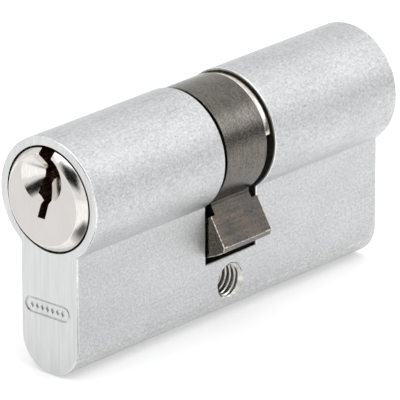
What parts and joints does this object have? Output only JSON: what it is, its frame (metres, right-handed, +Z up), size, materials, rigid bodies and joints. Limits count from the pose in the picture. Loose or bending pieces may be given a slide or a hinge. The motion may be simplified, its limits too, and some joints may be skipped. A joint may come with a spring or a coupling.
{
  "type": "lock cylinder",
  "caption": "Euro-profile double lock cylinder for a mortice deadbolt, keyed from both ends, with a central cam, pin tumblers and a fixing-screw hole.",
  "frame": {"origin": "centre of the fixing-screw hole, at the middle of the cylinder's length and of the web's thickness", "axes": "+X along the plugs from the front end to the rear end, +Z up from the web to the round head, -Y to the side that the cam's nose points to"},
  "size_m": [0.0622, 0.017, 0.033],
  "materials": {
    "housing_nickel": "satin nickel plate over machined brass, fine grain",
    "plug_nickel": "polished nickel plate on brass",
    "cam_steel": "bare sintered steel, oiled, dark grey",
    "spring_steel": "bright spring steel",
    "pin_brass": "turned brass",
    "driver_steel": "turned hardened steel",
    "cap_brass": "brass, ground flush with the web"
  },
  "bodies": {
    "housing": {"housing": "housing_nickel", "front_pin_spring_1": "spring_steel", "front_chamber_cap_1": "cap_brass", "front_pin_spring_2": "spring_steel", "front_chamber_cap_2": "cap_brass", "front_pin_spring_3": "spring_steel", "front_chamber_cap_3": "cap_brass", "front_pin_spring_4": "spring_steel", "front_chamber_cap_4": "cap_brass", "front_pin_spring_5": "spring_steel", "front_chamber_cap_5": "cap_brass", "rear_pin_spring_1": "spring_steel", "rear_chamber_cap_1": "cap_brass", "rear_pin_spring_2": "spring_steel", "rear_chamber_cap_2": "cap_brass", "rear_pin_spring_3": "spring_steel", "rear_chamber_cap_3": "cap_brass", "rear_pin_spring_4": "spring_steel", "rear_chamber_cap_4": "cap_brass", "rear_pin_spring_5": "spring_steel", "rear_chamber_cap_5": "cap_brass"},
    "front_plug": {"front_plug": "plug_nickel", "front_circlip": "spring_steel"},
    "rear_plug": {"rear_plug": "plug_nickel", "rear_circlip": "spring_steel"},
    "cam": {"cam": "cam_steel", "coupler_spring": "spring_steel"},
    "front_coupler": {"front_coupler": "spring_steel"},
    "rear_coupler": {"rear_coupler": "spring_steel"},
    "front_key_pin_1": {"front_key_pin_1": "pin_brass"},
    "front_driver_pin_1": {"front_driver_pin_1": "driver_steel"},
    "front_key_pin_2": {"front_key_pin_2": "pin_brass"},
    "front_driver_pin_2": {"front_driver_pin_2": "driver_steel"},
    "front_key_pin_3": {"front_key_pin_3": "pin_brass"},
    "front_driver_pin_3": {"front_driver_pin_3": "driver_steel"},
    "front_key_pin_4": {"front_key_pin_4": "pin_brass"},
    "front_driver_pin_4": {"front_driver_pin_4": "driver_steel"},
    "front_key_pin_5": {"front_key_pin_5": "pin_brass"},
    "front_driver_pin_5": {"front_driver_pin_5": "driver_steel"},
    "rear_key_pin_1": {"rear_key_pin_1": "pin_brass"},
    "rear_driver_pin_1": {"rear_driver_pin_1": "driver_steel"},
    "rear_key_pin_2": {"rear_key_pin_2": "pin_brass"},
    "rear_driver_pin_2": {"rear_driver_pin_2": "driver_steel"},
    "rear_key_pin_3": {"rear_key_pin_3": "pin_brass"},
    "rear_driver_pin_3": {"rear_driver_pin_3": "driver_steel"},
    "rear_key_pin_4": {"rear_key_pin_4": "pin_brass"},
    "rear_driver_pin_4": {"rear_driver_pin_4": "driver_steel"},
    "rear_key_pin_5": {"rear_key_pin_5": "pin_brass"},
    "rear_driver_pin_5": {"rear_driver_pin_5": "driver_steel"}
  },
  "joints": [
    {"name": "cam_turn", "type": "hinge", "parent": "housing", "child": "cam", "pos_m": [0, 0, 0.019], "axis": [1, 0, 0], "continuous": true},
    {"name": "front_plug_turn", "type": "hinge", "parent": "housing", "child": "front_plug", "pos_m": [0, 0, 0.019], "axis": [1, 0, 0], "continuous": true},
    {"name": "front_coupler_slide", "type": "slide", "parent": "front_plug", "child": "front_coupler", "axis": [1, 0, 0], "range_m": [0, 0.00115], "stiffness_N_per_m": 50, "springref_m": -0.0005, "deforming": ["coupler_spring"]},
    {"name": "rear_plug_turn", "type": "hinge", "parent": "housing", "child": "rear_plug", "pos_m": [0, 0, 0.019], "axis": [1, 0, 0], "continuous": true},
    {"name": "rear_coupler_slide", "type": "slide", "parent": "rear_plug", "child": "rear_coupler", "axis": [-1, 0, 0], "range_m": [0, 0.00115], "stiffness_N_per_m": 50, "springref_m": -0.0005},
    {"name": "front_key_pin_1_rise", "type": "slide", "parent": "front_plug", "child": "front_key_pin_1", "axis": [0, 0, 1], "range_m": [0, 0.00335]},
    {"name": "front_key_pin_2_rise", "type": "slide", "parent": "front_plug", "child": "front_key_pin_2", "axis": [0, 0, 1], "range_m": [0, 0.00215]},
    {"name": "front_key_pin_3_rise", "type": "slide", "parent": "front_plug", "child": "front_key_pin_3", "axis": [0, 0, 1], "range_m": [0, 0.00275]},
    {"name": "front_key_pin_4_rise", "type": "slide", "parent": "front_plug", "child": "front_key_pin_4", "axis": [0, 0, 1], "range_m": [0, 0.00155]},
    {"name": "front_key_pin_5_rise", "type": "slide", "parent": "front_plug", "child": "front_key_pin_5", "axis": [0, 0, 1], "range_m": [0, 0.00315]},
    {"name": "front_driver_pin_1_drop", "type": "slide", "parent": "housing", "child": "front_driver_pin_1", "axis": [0, 0, -1], "range_m": [0, 0.0012], "stiffness_N_per_m": 50, "springref_m": -0.0005, "deforming": ["front_pin_spring_1"]},
    {"name": "front_driver_pin_2_drop", "type": "slide", "parent": "housing", "child": "front_driver_pin_2", "axis": [0, 0, -1], "range_m": [0, 0.0024], "stiffness_N_per_m": 50, "springref_m": -0.0005, "deforming": ["front_pin_spring_2"]},
    {"name": "front_driver_pin_3_drop", "type": "slide", "parent": "housing", "child": "front_driver_pin_3", "axis": [0, 0, -1], "range_m": [0, 0.0018], "stiffness_N_per_m": 50, "springref_m": -0.0005, "deforming": ["front_pin_spring_3"]},
    {"name": "front_driver_pin_4_drop", "type": "slide", "parent": "housing", "child": "front_driver_pin_4", "axis": [0, 0, -1], "range_m": [0, 0.003], "stiffness_N_per_m": 50, "springref_m": -0.0005, "deforming": ["front_pin_spring_4"]},
    {"name": "front_driver_pin_5_drop", "type": "slide", "parent": "housing", "child": "front_driver_pin_5", "axis": [0, 0, -1], "range_m": [0, 0.0014], "stiffness_N_per_m": 50, "springref_m": -0.0005, "deforming": ["front_pin_spring_5"]},
    {"name": "rear_key_pin_1_rise", "type": "slide", "parent": "rear_plug", "child": "rear_key_pin_1", "axis": [0, 0, 1], "range_m": [0, 0.00335]},
    {"name": "rear_key_pin_2_rise", "type": "slide", "parent": "rear_plug", "child": "rear_key_pin_2", "axis": [0, 0, 1], "range_m": [0, 0.00215]},
    {"name": "rear_key_pin_3_rise", "type": "slide", "parent": "rear_plug", "child": "rear_key_pin_3", "axis": [0, 0, 1], "range_m": [0, 0.00275]},
    {"name": "rear_key_pin_4_rise", "type": "slide", "parent": "rear_plug", "child": "rear_key_pin_4", "axis": [0, 0, 1], "range_m": [0, 0.00155]},
    {"name": "rear_key_pin_5_rise", "type": "slide", "parent": "rear_plug", "child": "rear_key_pin_5", "axis": [0, 0, 1], "range_m": [0, 0.00315]},
    {"name": "rear_driver_pin_1_drop", "type": "slide", "parent": "housing", "child": "rear_driver_pin_1", "axis": [0, 0, -1], "range_m": [0, 0.0012], "stiffness_N_per_m": 50, "springref_m": -0.0005, "deforming": ["rear_pin_spring_1"]},
    {"name": "rear_driver_pin_2_drop", "type": "slide", "parent": "housing", "child": "rear_driver_pin_2", "axis": [0, 0, -1], "range_m": [0, 0.0024], "stiffness_N_per_m": 50, "springref_m": -0.0005, "deforming": ["rear_pin_spring_2"]},
    {"name": "rear_driver_pin_3_drop", "type": "slide", "parent": "housing", "child": "rear_driver_pin_3", "axis": [0, 0, -1], "range_m": [0, 0.0018], "stiffness_N_per_m": 50, "springref_m": -0.0005, "deforming": ["rear_pin_spring_3"]},
    {"name": "rear_driver_pin_4_drop", "type": "slide", "parent": "housing", "child": "rear_driver_pin_4", "axis": [0, 0, -1], "range_m": [0, 0.003], "stiffness_N_per_m": 50, "springref_m": -0.0005, "deforming": ["rear_pin_spring_4"]},
    {"name": "rear_driver_pin_5_drop", "type": "slide", "parent": "housing", "child": "rear_driver_pin_5", "axis": [0, 0, -1], "range_m": [0, 0.0014], "stiffness_N_per_m": 50, "springref_m": -0.0005, "deforming": ["rear_pin_spring_5"]}
  ],
  "couplings": [
    {"joint": "front_key_pin_2_rise", "follows": "front_key_pin_1_rise", "ratio": 0.64179},
    {"joint": "front_key_pin_3_rise", "follows": "front_key_pin_1_rise", "ratio": 0.8209},
    {"joint": "front_key_pin_4_rise", "follows": "front_key_pin_1_rise", "ratio": 0.46269},
    {"joint": "front_key_pin_5_rise", "follows": "front_key_pin_1_rise", "ratio": 0.9403},
    {"joint": "front_driver_pin_2_drop", "follows": "front_driver_pin_1_drop", "ratio": 2},
    {"joint": "front_driver_pin_3_drop", "follows": "front_driver_pin_1_drop", "ratio": 1.5},
    {"joint": "front_driver_pin_4_drop", "follows": "front_driver_pin_1_drop", "ratio": 2.5},
    {"joint": "front_driver_pin_5_drop", "follows": "front_driver_pin_1_drop", "ratio": 1.1667},
    {"joint": "rear_key_pin_2_rise", "follows": "rear_key_pin_1_rise", "ratio": 0.64179},
    {"joint": "rear_key_pin_3_rise", "follows": "rear_key_pin_1_rise", "ratio": 0.8209},
    {"joint": "rear_key_pin_4_rise", "follows": "rear_key_pin_1_rise", "ratio": 0.46269},
    {"joint": "rear_key_pin_5_rise", "follows": "rear_key_pin_1_rise", "ratio": 0.9403},
    {"joint": "rear_driver_pin_2_drop", "follows": "rear_driver_pin_1_drop", "ratio": 2},
    {"joint": "rear_driver_pin_3_drop", "follows": "rear_driver_pin_1_drop", "ratio": 1.5},
    {"joint": "rear_driver_pin_4_drop", "follows": "rear_driver_pin_1_drop", "ratio": 2.5},
    {"joint": "rear_driver_pin_5_drop", "follows": "rear_driver_pin_1_drop", "ratio": 1.1667}
  ]
}
